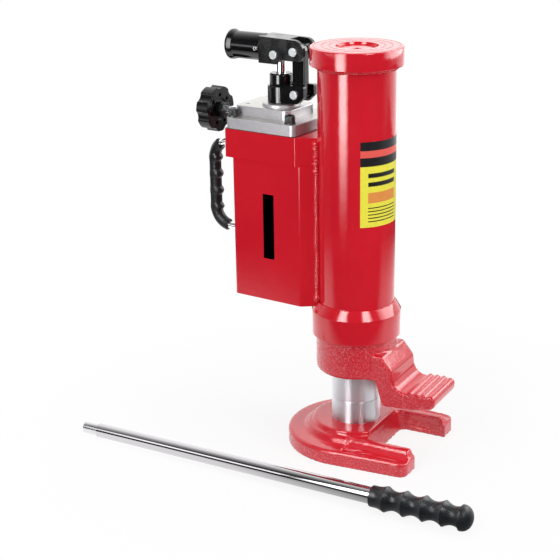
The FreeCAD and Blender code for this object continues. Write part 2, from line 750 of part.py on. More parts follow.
def lever_grip():
    """Dipped vinyl grip: a cuff, finger ridges with hollows between, and a bulb with a domed end."""
    edges = []

    def line(a, b):
        edges.append(Part.makeLine(V(a[0], 0, a[1]), V(b[0], 0, b[1])))

    def arc(a, m, b):
        edges.append(Part.Arc(V(a[0], 0, a[1]), V(m[0], 0, m[1]), V(b[0], 0, b[1])).toShape())

    cuff = (grip_start + 7, grip_cuff)
    line((grip_start, lever_radius), (grip_start, grip_cuff - 0.4))
    line((grip_start, grip_cuff - 0.4), cuff)
    arc(cuff, ((cuff[0] + ridge_x) / 2, grip_cuff + 0.7), (ridge_x, grip_ridge))
    for k in range(finger_ridges):
        x = ridge_x + k * ridge_gap
        arc((x, grip_ridge), (x + ridge_gap / 2, grip_hollow), (x + ridge_gap, grip_ridge))
    bulb, plug = ridge_x + finger_ridges * ridge_gap, lever_length - lever_cap
    reach = lever_length - bulb
    dome = (grip_ridge ** 2 + reach ** 2) / (2 * reach)
    half = math.asin(grip_ridge / dome) / 2
    centre = lever_length - dome
    arc((bulb, grip_ridge), (centre + dome * math.cos(half), dome * math.sin(half)), (lever_length, 0))
    line((lever_length, 0), (plug, 0))
    line((plug, 0), (plug, lever_radius))
    line((plug, lever_radius), (grip_start, lever_radius))
    return lever_placed(Part.Face(Part.Wire(edges)).revolve(ORIGIN, X_AXIS, 360))


PIECES = {
    "base_casting": base_casting,
    "ram_dowel": lambda: clocked(ram_dowel()),
    "ram_foot": ram_foot,
    "ram": ram,
    "piston": piston,
    "piston_seal": piston_seal,
    "piston_nut": piston_nut,
    "cylinder_tube": cylinder_tube,
    "head_cap": head_cap,
    "head_weld": head_weld,
    "gland_collar": gland_collar,
    "guide_bush": guide_bush,
    "rod_seal": rod_seal,
    "seal_retainer": seal_retainer,
    "rod_wiper": rod_wiper,
    "toe_casting": toe_casting,
    "reservoir_tank": reservoir_tank,
    "valve_block": valve_block,
    "reservoir_welds": reservoir_welds,
    "pump_gasket": pump_gasket,
    "pump_body": pump_body,
    "cap_screws": cap_screws,
    "lock_washers": lock_washers,
    "vent_screw": vent_screw,
    "pump_barrel": pump_barrel,
    "suction_ball": suction_ball,
    "suction_strainer": suction_strainer,
    "pump_collar": pump_collar,
    "gland_nut": gland_nut,
    "plunger_seal": plunger_seal,
    "plunger": plunger,
    "link": link,
    "lower_link_pin": lambda: pin(pivot_x, lower_pin_z, ear_outer),
    "lower_pin_clip": lambda: clip(pivot_x, lower_pin_z, ear_outer),
    "lower_spacers": lambda: link_spacers(lower_pin_z, ear_inner),
    "upper_link_pin": lambda: pin(pivot_x, upper_pin_z, cheek_outer),
    "upper_pin_clip": lambda: clip(pivot_x, upper_pin_z, cheek_outer),
    "upper_spacers": lambda: link_spacers(upper_pin_z, cheek_inner),
    "plunger_pin": lambda: pin(pump_x, eye_z, cheek_outer),
    "plunger_pin_clip": lambda: clip(pump_x, eye_z, cheek_outer),
    "socket_tube": socket_tube,
    "socket_bracket": socket_bracket,
    "clamp_screw": clamp_screw,
    "valve_stem": valve_stem,
    "valve_ball": valve_ball,
    "valve_gland": valve_gland,
    "stem_locknut": stem_locknut,
    "handwheel": handwheel,
    "carry_handle": carry_handle,
    "carry_grip": carry_grip,
    "lever_tube": lever_tube,
    "lever_tip": lever_tip,
    "lever_grip": lever_grip,
}

os.makedirs("parts", exist_ok=True)
for name, make in PIECES.items():
    save(name, make())
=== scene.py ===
"""Hydraulic toe jack with its pump lever: the finished look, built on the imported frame.

Metres, +Z up, origin under the ram. The sections follow the jack as it is put together.
"""

import json
import math

import bmesh
import bpy
import numpy as np
from mathutils import Matrix, Vector


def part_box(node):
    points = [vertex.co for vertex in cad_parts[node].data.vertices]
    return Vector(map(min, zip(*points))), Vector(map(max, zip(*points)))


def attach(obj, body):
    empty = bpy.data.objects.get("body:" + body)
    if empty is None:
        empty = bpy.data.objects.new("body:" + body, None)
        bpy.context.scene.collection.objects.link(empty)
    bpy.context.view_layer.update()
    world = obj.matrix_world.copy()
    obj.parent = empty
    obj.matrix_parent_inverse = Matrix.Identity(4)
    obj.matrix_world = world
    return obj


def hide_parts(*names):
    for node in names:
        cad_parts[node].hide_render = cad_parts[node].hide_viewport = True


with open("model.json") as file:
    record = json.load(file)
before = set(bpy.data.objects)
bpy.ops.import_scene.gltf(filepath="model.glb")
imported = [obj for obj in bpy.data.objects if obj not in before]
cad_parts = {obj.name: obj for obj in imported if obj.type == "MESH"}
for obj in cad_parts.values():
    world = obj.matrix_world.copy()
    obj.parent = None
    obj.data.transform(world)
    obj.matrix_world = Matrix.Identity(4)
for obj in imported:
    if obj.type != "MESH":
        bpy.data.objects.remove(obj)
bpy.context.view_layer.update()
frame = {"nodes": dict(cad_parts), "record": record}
MM = 0.001


# ---- camera ------------------------------------------------------------------------------
# A long lens in front of the jack and to its right, at about one and a half metres, looking
# down a little so that the load head and the base both show their tops.
camera_reach, camera_height = 1.54883, 0.74371
camera_side, camera_yaw, camera_pitch, camera_roll = np.radians([31.14, 3.30, 19.26, -0.93])
heading = camera_side + camera_yaw
ahead = Vector((-math.sin(heading) * math.cos(camera_pitch), math.cos(heading) * math.cos(camera_pitch),
                -math.sin(camera_pitch)))
level_right = Vector((math.cos(heading), math.sin(heading), 0))
level_up = level_right.cross(ahead)
camera_right = level_right * math.cos(camera_roll) + level_up * math.sin(camera_roll)
camera_up = level_up * math.cos(camera_roll) - level_right * math.sin(camera_roll)
camera_data = bpy.data.cameras.new("camera")
camera_data.sensor_width = 36.0
camera_data.lens = 90.26
camera = bpy.data.objects.new("camera", camera_data)
camera_turn = Matrix((camera_right, camera_up, -ahead)).transposed().to_4x4()
camera_place = Vector((camera_reach * math.sin(camera_side), -camera_reach * math.cos(camera_side),
                       camera_height))
camera.matrix_world = Matrix.Translation(camera_place) @ camera_turn
bpy.context.scene.collection.objects.link(camera)
bpy.context.scene.camera = camera
bpy.context.scene.view_settings.view_transform = "Standard"


# ---- studio ------------------------------------------------------------------------------
# A white table in a white tent. The tent's back glows, its front side is the dark room where
# the camera stands, and soft boxes stand left and right of the camera, low on the left and on
# the far right.
def add(tree, kind, inputs=(), **settings):
    """Adds a shader node, sets its properties, and fills its inputs with links or constants."""
    made = tree.nodes.new(kind)
    for key, value in settings.items():
        setattr(made, key, value)
    for key, value in dict(inputs).items():
        if isinstance(value, bpy.types.NodeSocket):
            tree.links.new(value, made.inputs[key])
        else:
            made.inputs[key].default_value = value
    return made


def ramp(tree, source, stops):
    """A colour ramp over `source`, from (position, grey or colour) stops."""
    made = add(tree, "ShaderNodeValToRGB", {0: source})
    band = made.color_ramp.elements
    while len(band) < len(stops):
        band.new(0.5)
    for element, (position, value) in zip(band, stops):
        element.position = position
        element.color = (value, value, value, 1) if isinstance(value, (int, float)) else (*value, 1)
    return made.outputs[0]


to_camera = Vector((math.sin(camera_side), -math.cos(camera_side), 0))
to_left = Vector((-math.cos(camera_side), -math.sin(camera_side), 0))

world = bpy.data.worlds.new("tent")
bpy.context.scene.world = world
world.use_nodes = True
tent = world.node_tree
tent.nodes.clear()
rays = add(tent, "ShaderNodeLightPath")
direction = add(tent, "ShaderNodeTexCoord").outputs["Generated"]
facing = add(tent, "ShaderNodeVectorMath", {0: direction, 1: -to_camera}, operation="DOT_PRODUCT")
facing = add(tent, "ShaderNodeMapRange", {0: facing.outputs["Value"], 1: -1.0, 2: 1.0}).outputs[0]
glow = ramp(tent, facing, [(0.0, 0.03), (0.40, 0.04), (0.55, 0.30), (0.75, 0.85), (1.0, 1.0)])
back_strength = 1.9
tent_glow = add(tent, "ShaderNodeBackground", {0: glow, 1: back_strength})
fill = add(tent, "ShaderNodeBackground", {0: (1, 1, 1, 1), 1: 0.42})
white = add(tent, "ShaderNodeBackground", {0: (1, 1, 1, 1), 1: 1.0})
mirrored = add(tent, "ShaderNodeMixShader", {0: rays.outputs["Is Glossy Ray"], 1: fill.outputs[0],
                                             2: tent_glow.outputs[0]})
seen = add(tent, "ShaderNodeMath", {0: rays.outputs["Is Camera Ray"], 1: rays.outputs["Is Transmission Ray"]},
           operation="MAXIMUM")
shown = add(tent, "ShaderNodeMixShader", {0: seen.outputs[0], 1: mirrored.outputs[0], 2: white.outputs[0]})
add(tent, "ShaderNodeOutputWorld", {0: shown.outputs[0]})


def facing_lamp(name, place, target, width, height, watts):
    """A rectangular lamp at `place`, square on to `target`, which lights but isn't mirrored."""
    lamp = bpy.data.lights.new(name, "AREA")
    lamp.shape = "RECTANGLE"
    lamp.size, lamp.size_y, lamp.energy = width, height, watts
    made = bpy.data.objects.new(name, lamp)
    turn = (target - place).to_track_quat("-Z", "Y").to_matrix().to_4x4()
    made.matrix_world = Matrix.Translation(place) @ turn
    made.visible_glossy = False
    bpy.context.scene.collection.objects.link(made)


def soft_box(name, azimuth, distance, low, high, half_angle, strength, foot=0.0):
    """An upright glowing panel that only reflections see, facing the jack. Its light dies away at
    its two sides, and from the share `foot` of its height down to its lower edge.

    Azimuth is measured from the camera's side of the jack, positive to the camera's left.
    """
    turn = math.radians(azimuth)
    out = to_camera * math.cos(turn) + to_left * math.sin(turn)
    side = Vector((-out.y, out.x, 0)) * distance * math.tan(math.radians(half_angle))
    middle = out * distance
    corners = [middle - side + Vector((0, 0, low)), middle + side + Vector((0, 0, low)),
               middle + side + Vector((0, 0, high)), middle - side + Vector((0, 0, high))]
    mesh = bpy.data.meshes.new(name)
    mesh.from_pydata(corners, [], [(0, 1, 2, 3)])
    mesh.uv_layers.new(name="panel").data.foreach_set("uv", [0, 0, 1, 0, 1, 1, 0, 1])
    panel = bpy.data.objects.new(name, mesh)
    bpy.context.scene.collection.objects.link(panel)
    look = bpy.data.materials.new(name)
    look.use_nodes = True
    tree = look.node_tree
    tree.nodes.clear()
    spot = add(tree, "ShaderNodeUVMap", uv_map="panel").outputs[0]
    spot = add(tree, "ShaderNodeSeparateXYZ", {0: spot}).outputs
    sides = ramp(tree, spot[0], [(0.0, 0.0), (0.3, 1.0), (0.7, 1.0), (1.0, 0.0)])
    fade = [(0.22, 0.0), (0.44, 0.09), (0.73, 0.45), (1.0, 1.0)] if foot else [(0.0, 1.0), (1.0, 1.0)]
    rise = ramp(tree, spot[1], [(foot * share, level) for share, level in fade])
    shine = add(tree, "ShaderNodeMath", {0: sides, 1: rise}, operation="MULTIPLY").outputs[0]
    shine = add(tree, "ShaderNodeMath", {0: shine, 1: strength}, operation="MULTIPLY").outputs[0]
    glowing = add(tree, "ShaderNodeEmission", {0: (1, 1, 1, 1), 1: shine})
    add(tree, "ShaderNodeOutputMaterial", {0: glowing.outputs[0]})
    mesh.materials.append(look)
    panel.visible_camera = panel.visible_diffuse = panel.visible_shadow = False


chest = Vector((0, 0, 0.25))
facing_lamp("key", chest + to_camera * 1.3 + to_left * 1.0 + Vector((0, 0, 1.1)), chest, 1.0, 1.0, 13)
facing_lamp("side", chest + to_camera * 0.7 - to_left * 1.6 + Vector((0, 0, 0.9)), chest, 0.9, 1.2, 13)
facing_lamp("top", chest + Vector((0, 0, 1.7)), chest, 1.4, 1.4, 11)
soft_box("soft_box_left", 39, 0.62, 0.02, 1.10, 15, 15, 0.23)
soft_box("soft_box_right", -30, 1.10, 0.75, 1.60, 15, 14)
soft_box("low_left", 66, 1.40, 0.36, 0.66, 22, 2.4)
soft_box("side_right", -105, 0.75, 0.36, 1.20, 42, 8.0)

corner = 1.5
table_mesh = bpy.data.meshes.new("table")
table_mesh.from_pydata([(-corner, -corner, 0), (corner, -corner, 0), (corner, corner, 0), (-corner, corner, 0)],
                       [], [(0, 1, 2, 3)])
table = bpy.data.objects.new("table", table_mesh)
bpy.context.scene.collection.objects.link(table)
table_look = bpy.data.materials.new("table_white")
table_look.use_nodes = True
top = table_look.node_tree
top.nodes.clear()
rays = add(top, "ShaderNodeLightPath")
place = add(top, "ShaderNodeTexCoord").outputs["Object"]
reach = add(top, "ShaderNodeVectorMath", {0: place}, operation="LENGTH").outputs["Value"]
lit = ramp(top, reach, [(0.0, 0.7), (0.40, 1.0), (0.60, 0.8), (0.85, 0.05)])
forward = add(top, "ShaderNodeVectorMath", {0: place, 1: to_camera}, operation="DOT_PRODUCT").outputs["Value"]
lit_front = ramp(top, forward, [(0.11, 1.0), (0.26, 0.03)])
near = add(top, "ShaderNodeMath", {0: lit, 1: lit_front}, operation="MULTIPLY").outputs[0]
near = add(top, "ShaderNodeMath", {0: near, 1: 1.7}, operation="MULTIPLY").outputs[0]
paper = add(top, "ShaderNodeBsdfDiffuse", {0: (0.9, 0.9, 0.9, 1)})
sheen = add(top, "ShaderNodeEmission", {0: (1, 1, 1, 1), 1: near})
flat_white = add(top, "ShaderNodeEmission", {0: (1, 1, 1, 1), 1: 1.0})
shadow_part = ramp(top, reach, [(0.10, 0.84), (0.45, 1.0)])
camera_part = add(top, "ShaderNodeMixShader", {0: shadow_part, 1: paper.outputs[0], 2: flat_white.outputs[0]})
mirror_part = add(top, "ShaderNodeMixShader", {0: rays.outputs["Is Glossy Ray"], 1: paper.outputs[0],
                                               2: sheen.outputs[0]})
both = add(top, "ShaderNodeMixShader", {0: rays.outputs["Is Camera Ray"], 1: mirror_part.outputs[0],
                                        2: camera_part.outputs[0]})
add(top, "ShaderNodeOutputMaterial", {0: both.outputs[0]})
table_mesh.materials.append(table_look)


# ---- base casting ------------------------------------------------------------------------
# Cast-iron horseshoe with a stepped boss, dipped in thick red enamel over the sand-cast skin.
# The sand shows on the outer wall and in the pockets, its grain tipped with painted pink
# highlights, and the top runs smooth.
def lattice_noise(points, size, seed):
    """Smooth value noise from -1 to 1: random values on a cubic lattice of `size`, blended inside
    each cell with the weights 3t^2 - 2t^3 along the three axes."""
    values = np.random.default_rng(seed).uniform(-1, 1, (64, 64, 64))
    scaled = points / size
    cell = np.floor(scaled).astype(int)
    t = scaled - cell
    t = t * t * (3 - 2 * t)
    total = np.zeros(len(points))
    for corner_ in np.ndindex(2, 2, 2):
        weight = np.prod(np.where(np.array(corner_) == 1, t, 1 - t), axis=1)
        index = (cell + np.array(corner_)) % 64
        total += weight * values[index[:, 0], index[:, 1], index[:, 2]]
    return total


def arrays_of(mesh):
    """Vertex places, vertex normals and edge ends of a mesh, as arrays."""
    count = len(mesh.vertices)
    places = np.empty(count * 3)
    mesh.vertices.foreach_get("co", places)
    normals = np.empty(count * 3)
    mesh.vertices.foreach_get("normal", normals)
    ends = np.empty(len(mesh.edges) * 2, int)
    mesh.edges.foreach_get("vertices", ends)
    return places.reshape(-1, 3), normals.reshape(-1, 3), ends.reshape(-1, 2)


def relaxed(places, ends, rounds, pull):
    """Moves each vertex towards the mean of its neighbours, `rounds` times, by the share `pull`."""
    count = np.bincount(ends.ravel(), minlength=len(places))[:, None]
    for _ in range(rounds):
        total = np.stack([np.bincount(ends[:, 0], places[ends[:, 1], k], len(places))
                          + np.bincount(ends[:, 1], places[ends[:, 0], k], len(places)) for k in range(3)], 1)
        places = places + pull * (total / count - places)
    return places


def linked(name, mesh, body, node=None, slot=None):
    """Puts a finished mesh in the scene, rides it on its body and hides the CAD node it stands for."""
    made = bpy.data.objects.new(name, mesh)
    bpy.context.scene.collection.objects.link(made)
    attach(made, body)
    if node:
        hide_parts(node)
        slot = slot or slot_of_node[node]
    return made


def merged_skin(node):
    """A copy of a CAD node's skin with its loose triangles joined and its flat faces made whole."""
    shape = bmesh.new()
    shape.from_mesh(frame["nodes"][node].data)
    bmesh.ops.remove_doubles(shape, verts=shape.verts, dist=2e-6)
    bmesh.ops.dissolve_limit(shape, angle_limit=math.radians(0.2), verts=shape.verts, edges=shape.edges)
    mesh = bpy.data.meshes.new(node + "_skin")
    shape.to_mesh(mesh)
    shape.free()
    return mesh


def casting(node, name, grain, rounds, rough):
    """A CAD shape as a sand casting: remeshed at `grain`, its edges relaxed, and sunk along its
    normals by lumps of two sizes wherever `rough` (of places and normals, in metres) says. The
    `sand` attribute keeps how rough each place is."""
    block = bpy.data.objects.new(name + "_block", merged_skin(node))
    bpy.context.scene.collection.objects.link(block)
    remesh = block.modifiers.new("voxels", "REMESH")
    remesh.mode = "VOXEL"
    remesh.voxel_size = grain
    mesh = bpy.data.meshes.new_from_object(block.evaluated_get(bpy.context.evaluated_depsgraph_get()))
    bpy.data.objects.remove(block)
    places, normals, ends = arrays_of(mesh)
    places = relaxed(places, ends, rounds, 0.5)
    lumps = 0.6 * lattice_noise(places, 0.0034, 3) + 0.4 * lattice_noise(places, 0.0017, 4)
    depth = rough(places, normals)
    places = places + normals * (depth * (lumps - 1) * 0.5)[:, None]
    low, high = (np.array(c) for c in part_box(node))
    mesh.vertices.foreach_set("co", np.clip(places, low, high).ravel())
    mesh.update()
    mesh.shade_smooth()
    sand = np.clip((depth - 0.00012) / 0.0005, 0.03, 1)
    mesh.attributes.new("sand", "FLOAT", "POINT").data.foreach_set("value", sand)
    return linked(name, mesh, body_of_node[node], node)


body_of_node = {node: body for body, nodes in frame["record"]["behaviour"]["bodies"].items()
                for node in nodes}
slot_of_node = {part["node"]: part["material_slot"] for part in frame["record"]["subparts"]}


def new_look(name, color, roughness, metallic=0.0, **sockets):
    """A material with one Principled shader; returns the material, its tree, the shader's node and
    the piece's own coordinates."""
    look = bpy.data.materials.new(name)
    look.use_nodes = True
    tree = look.node_tree
    tree.nodes.clear()
    shader = add(tree, "ShaderNodeBsdfPrincipled", {"Base Color": (*color, 1), "Roughness": roughness,
                                                    "Metallic": metallic, **sockets})
    add(tree, "ShaderNodeOutputMaterial", {0: shader.outputs[0]})
    own = add(tree, "ShaderNodeTexCoord").outputs["Object"]
    return look, tree, shader, own


def noise_of(tree, own, scale, detail=2.0, stretch=(1, 1, 1)):
    """Noise on the piece's own coordinates, with `scale` features to the metre."""
    mapped = add(tree, "ShaderNodeMapping", {"Vector": own, "Scale": stretch}).outputs[0]
    return add(tree, "ShaderNodeTexNoise", {"Vector": mapped, "Scale": scale, "Detail": detail}).outputs["Fac"]


def bumped(tree, shader, heights):
    """Bumps the shader by (height source, depth in metres) pairs, one on another."""
    normal = None
    for source, depth in heights:
        inputs = {"Height": source, "Distance": depth, "Strength": 1.0}
        if normal is not None:
            inputs["Normal"] = normal
        normal = add(tree, "ShaderNodeBump", inputs).outputs[0]
    tree.links.new(normal, shader.inputs["Normal"])


def enamel(name, light, dark, grain_depth, gloss, sandy=False):
    """Thick red enamel: the red drifts slowly, the gloss is uneven, and the skin has orange peel. On a
    casting the sand's grain shows through wherever the piece's `sand` attribute says, and the
    grain's tips are painted a light pink as painted highlights."""
    look, tree, shader, own = new_look(name, light, 0.2, **{"IOR": 1.5})
    drift = ramp(tree, noise_of(tree, own, 9.0, 3.0), [(0.35, dark), (0.65, light)])
    tree.links.new(drift, shader.inputs["Base Color"])
    wiped = ramp(tree, noise_of(tree, own, 60.0, 4.0), [(0.35, gloss[0]), (0.7, gloss[1])])
    tree.links.new(wiped, shader.inputs["Roughness"])
    grain = noise_of(tree, own, 560.0 if sandy else 900.0, 3.0)
    if sandy:
        sand = add(tree, "ShaderNodeAttribute", attribute_name="sand").outputs["Fac"]
        grain = add(tree, "ShaderNodeMath", {0: grain, 1: sand}, operation="MULTIPLY").outputs[0]
        # The grain's tips get a light pink: painted highlights, standing in for the glints of the sand under
        # the gloss.
        glint_mask = ramp(tree, grain, [(0.50, 0.0), (0.66, 0.30)])
        lighter_patches = add(tree, "ShaderNodeMix", {"Factor": glint_mask, 6: drift, 7: (0.88, 0.36, 0.42, 1)},
                     data_type="RGBA")
        tree.links.new(lighter_patches.outputs[2], shader.inputs["Base Color"])
    bumped(tree, shader, [(noise_of(tree, own, 150.0, 1.0), 0.00008), (grain, grain_depth)])
    return look


cast_red = enamel("red_cast_enamel", (0.68, 0.018, 0.034), (0.61, 0.012, 0.026), 0.0008, (0.09, 0.18), True)


def base_rough(places, normals):
    """Rough on the outer wall and in the slot's pockets, nearly smooth on top."""
    upright = 1 - np.abs(normals[:, 2])
    return 0.0006 * upright ** 2 * (places[:, 2] < 0.024) + 0.00012


base = casting("base_casting", "base_cast", 0.0011, 5, base_rough)
base.data.materials.append(cast_red)


# ---- ram -----------------------------------------------------------------------------------
# Ground steel bar on its screwed foot: a fine turned grain runs round it, and the joint between
# bar and foot shows as a dark hairline.
def rounded_profile(points, steps=5):
    """A (radius, height) outline with round corners: each point may carry a third value, the
    corner's radius, and its arc is the circle that both sides touch."""
    made = []
    for i, point in enumerate(points):
        here = np.array(point[:2], float)
        radius = point[2] if len(point) > 2 else 0.0
        if not radius:
            made.append(here)
            continue
        before = np.array(points[i - 1][:2], float) - here
        after = np.array(points[(i + 1) % len(points)][:2], float) - here
        before, after = before / np.linalg.norm(before), after / np.linalg.norm(after)
        half = math.acos(np.clip(before @ after, -1, 1)) / 2
        middle = here + (before + after) / np.linalg.norm(before + after) * radius / math.sin(half)
        start = here + before * radius / math.tan(half) - middle
        end = here + after * radius / math.tan(half) - middle
        swing = math.pi - 2 * half
        for share in np.linspace(0, 1, steps + 1):
            made.append(middle + (start * math.sin((1 - share) * swing) + end * math.sin(share * swing))
                        / math.sin(swing))
    return np.array(made)


def grid_mesh(name, places, round_u=True, round_v=False):
    """Quads over a grid of points (u, v, xyz), closed in either direction if asked, its doubled
    points joined, and its faces turned outwards."""
    rows, columns = places.shape[:2]
    index = np.arange(rows * columns).reshape(rows, columns)
    if round_u:
        index = np.vstack([index, index[:1]])
    if round_v:
        index = np.hstack([index, index[:, :1]])
    quads = np.stack([index[:-1, :-1], index[1:, :-1], index[1:, 1:], index[:-1, 1:]], -1).reshape(-1, 4)
    mesh = bpy.data.meshes.new(name)
    mesh.from_pydata(places.reshape(-1, 3), [], quads.tolist())
    shape = bmesh.new()
    shape.from_mesh(mesh)
    bmesh.ops.remove_doubles(shape, verts=shape.verts, dist=1e-7)
    loose = [edge for edge in shape.edges if edge.is_boundary]
    if loose:
        bmesh.ops.holes_fill(shape, edges=loose)
    bmesh.ops.recalc_face_normals(shape, faces=shape.faces)
    shape.to_mesh(mesh)
    shape.free()
    return mesh


def smooth_by_angle(mesh, degrees):
    """Shades a mesh smooth, but keeps the edges sharper than `degrees` crisp."""
    mesh.shade_smooth()
    mesh.set_sharp_from_angle(angle=math.radians(degrees))


def turned(name, profile, x=0.0, y=0.0, steps=128, closed=True):
    """A surface of revolution about the upright line through (x, y): the point (r, z) of the
    profile goes to (x + r cos a, y + r sin a, z)."""
    angle = np.linspace(0, 2 * math.pi, steps, endpoint=False)[:, None]
    r, z = profile[:, 0][None, :], profile[:, 1][None, :]
    places = np.stack([x + r * np.cos(angle), y + r * np.sin(angle), z + 0 * angle], -1)
    mesh = grid_mesh(name, places, True, closed)
    smooth_by_angle(mesh, 32)
    return mesh


def ground_steel(name, color, roughness, drawn=0.0):
    """Steel ground round its axis. On an upright piece the fine rings draw every reflection out
    lengthwise, by the share `drawn`."""
    look, tree, shader, own = new_look(name, color, roughness, 1.0)
    rings = noise_of(tree, own, 40.0, 2.0, (1, 1, 60))
    tone = ramp(tree, rings, [(0.3, [0.93 * c for c in color]), (0.7, color)])
    tree.links.new(tone, shader.inputs["Base Color"])
    blotch = ramp(tree, noise_of(tree, own, 25.0, 2.0), [(0.3, roughness * 0.9), (0.75, roughness * 1.15)])
    tree.links.new(blotch, shader.inputs["Roughness"])
    if drawn:
        shader.inputs["Anisotropic"].default_value = drawn
        shader.inputs["Anisotropic Rotation"].default_value = 0.25
        along = add(tree, "ShaderNodeTangent", direction_type="RADIAL", axis="Z").outputs[0]
        tree.links.new(along, shader.inputs["Tangent"])
    bumped(tree, shader, [(rings, 0.00002)])
    return look


ram_steel = ground_steel("ground_steel", (0.56, 0.56, 0.59), 0.34, 0.92)
foot_low, foot_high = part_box("ram_foot")
ram_low, ram_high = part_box("ram")
ram_radius = ram_high.x
boss_top = 30.6 * MM
foot_radius = foot_high.x
seam = ram_low.z
foot = turned("ram_foot_turned", rounded_profile([
    (0, foot_low.z), (24 * MM, foot_low.z), (24 * MM, boss_top), (foot_radius, boss_top),
    (foot_radius, seam, 0.4 * MM), (14 * MM, seam), (14 * MM, foot_high.z), (0, foot_high.z)]), closed=False)
foot = linked("ram_foot_turned", foot, "base", "ram_foot")
foot.data.materials.append(ram_steel)
neck = ram_high.z - 34 * MM
bar = turned("ram_turned", rounded_profile([
    (14.2 * MM, seam), (ram_radius, seam, 0.4 * MM), (ram_radius, neck), (18 * MM, neck), (18 * MM, ram_high.z),
    (0, ram_high.z), (0, seam + 17 * MM), (14.2 * MM, seam + 17 * MM)]))
bar = linked("ram_turned", bar, "base", "ram")
bar.data.materials.append(ram_steel)


# ---- toe casting ---------------------------------------------------------------------------
# Cast toe with its collar round the ram and a serrated lip. The flat faces were cut after
# casting, so they're smooth under the enamel, and the flanks and collar keep the sand's skin.
def toe_rough(places, normals):
    """Rough on the flanks and round the collar's front, nearly smooth on the cut faces."""
    turn = math.radians(6.0)
    flank = np.abs(normals[:, 1] * math.cos(turn) - normals[:, 0] * math.sin(turn))
    collar_reach = 0.0482
    collar = (np.hypot(places[:, 0], places[:, 1]) < collar_reach) & (np.abs(normals[:, 2]) < 0.5)
    return 0.0007 * np.maximum(flank ** 3, 0.8 * collar) + 0.00010


toe = casting("toe_casting", "toe_cast", 0.0011, 4, toe_rough)
toe.data.materials.append(cast_red)


# ---- cylinder ------------------------------------------------------------------------------
# Drawn steel tube between a turned gland collar and the flat load head, all in one coat of
# gloss enamel that fills the corners and shows faint orange peel.
red = enamel("red_enamel", (0.66, 0.0135, 0.027), (0.61, 0.010, 0.023), 0.00002, (0.07, 0.12))

gland_low, gland_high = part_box("gland_collar")
tube_low, tube_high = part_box("cylinder_tube")
tube_radius, bore_radius = tube_high.x, 35 * MM
shoulder = gland_low.z + 29.5 * MM
gland = linked("gland_turned", turned("gland_turned", rounded_profile([
    (bore_radius, gland_low.z), (gland_high.x, gland_low.z, 1.0 * MM), (gland_high.x, shoulder, 0.8 * MM),
    (tube_radius + 1.2 * MM, gland_high.z, 0.6 * MM), (tube_radius, gland_high.z), (tube_radius, tube_low.z),
    (bore_radius, tube_low.z)]), steps=160), "jack_body", "gland_collar")
gland.data.materials.append(red)

tube = linked("tube_drawn", turned("tube_drawn", rounded_profile([
    (bore_radius, tube_low.z), (tube_radius, tube_low.z), (tube_radius, tube_high.z),
    (bore_radius, tube_high.z)]), steps=192), "jack_body", "cylinder_tube")
tube.data.materials.append(red)

head_low, head_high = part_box("head_cap")
head_radius, head_top = head_high.x, head_high.z
profile = [(0, head_low.z), (bore_radius, head_low.z), (bore_radius, tube_high.z),
           (head_radius, tube_high.z, 1.0 * MM), (head_radius, head_top, 1.6 * MM)]
ring_shares = (0.923, 0.75, 0.592)
for share in ring_shares:
    ring = share * head_radius
    profile += [(ring + 0.75 * MM, head_top, 0.2 * MM), (ring, head_top - 0.8 * MM),
                (ring - 0.75 * MM, head_top, 0.2 * MM)]
dish = 0.458 * head_radius
profile += [(dish, head_top, 0.4 * MM), (dish - 0.5 * MM, head_top - 3 * MM, 0.8 * MM),
            (1.8 * MM, head_top - 3 * MM, 0.3 * MM), (1.2 * MM, head_top - 5.4 * MM), (0, head_top - 5.4 * MM)]
head = linked("head_turned", turned("head_turned", rounded_profile(profile), steps=160, closed=False),
              "jack_body", "head_cap")
head.data.materials.append(red)


# ---- welds ---------------------------------------------------------------------------------
# Arc-weld beads under the head and down both sides of the box: overlapping scallops, with a
# few spatter lumps, under the same enamel.
def bead_radius(along, pitch, size, seed):
    """Height of a weld bead: overlapping scallops |sin| of the given pitch, with slow random swell."""
    rng = np.random.default_rng(seed)
    knots = rng.uniform(0.8, 1.15, 400)
    swell = np.interp(along / (pitch * 1.7), np.arange(400), knots)
    return size * swell * (0.72 + 0.28 * np.abs(np.sin(math.pi * along / pitch)) ** 0.6)


weld_red = enamel("red_weld_enamel", (0.66, 0.016, 0.03), (0.58, 0.010, 0.023), 0.0003, (0.05, 0.10))
around = np.linspace(0, 2 * math.pi, 720, endpoint=False)[:, None]
across = np.linspace(0, math.pi / 2, 9)[None, :]
girth = bead_radius(around * tube_radius, 3.1 * MM, 4.4 * MM, 5)
reach_out = tube_radius - 0.3 * MM + girth * np.cos(across)
reach_down = tube_high.z - girth * np.sin(across)
ring_weld = np.stack([reach_out * np.cos(around), reach_out * np.sin(around), reach_down], -1)
inner_edge = np.stack([(tube_radius - 0.4 * MM) * np.cos(around), (tube_radius - 0.4 * MM) * np.sin(around),
                       0 * around + tube_high.z], -1)
head_weld = grid_mesh("head_weld_bead", np.concatenate([ring_weld, inner_edge], 1), True, True)
head_weld.shade_smooth()
head_weld = linked("head_weld_bead", head_weld, "jack_body", "head_weld")
head_weld.data.materials.append(weld_red)

side_low, side_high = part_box("reservoir_welds")
seam_x, seam_y = -33.6 * MM, 33.2 * MM
runs = []
for side in (-1, 1):
    z = np.linspace(side_low.z + 1 * MM, side_high.z - 1 * MM, 620)[:, None]
    turn = np.linspace(0, 2 * math.pi, 17)[None, :-1]
    size = bead_radius(z, 2.3 * MM, 3.3 * MM, 11 + side)
    drift = 0.5 * MM * np.sin(z * 90) * np.sin(z * 37 + side)
    runs.append(np.stack([seam_x + drift + size * np.cos(turn), side * seam_y + size * np.sin(turn),
                          z + 0 * turn], -1))
beads = [grid_mesh("side_weld_bead", run.transpose(1, 0, 2), True, False) for run in runs]


def joined(name, meshes):
    """Several meshes as one."""
    shape = bmesh.new()
    for mesh in meshes:
        shape.from_mesh(mesh)
    made = bpy.data.meshes.new(name)
    shape.to_mesh(made)
    shape.free()
    return made


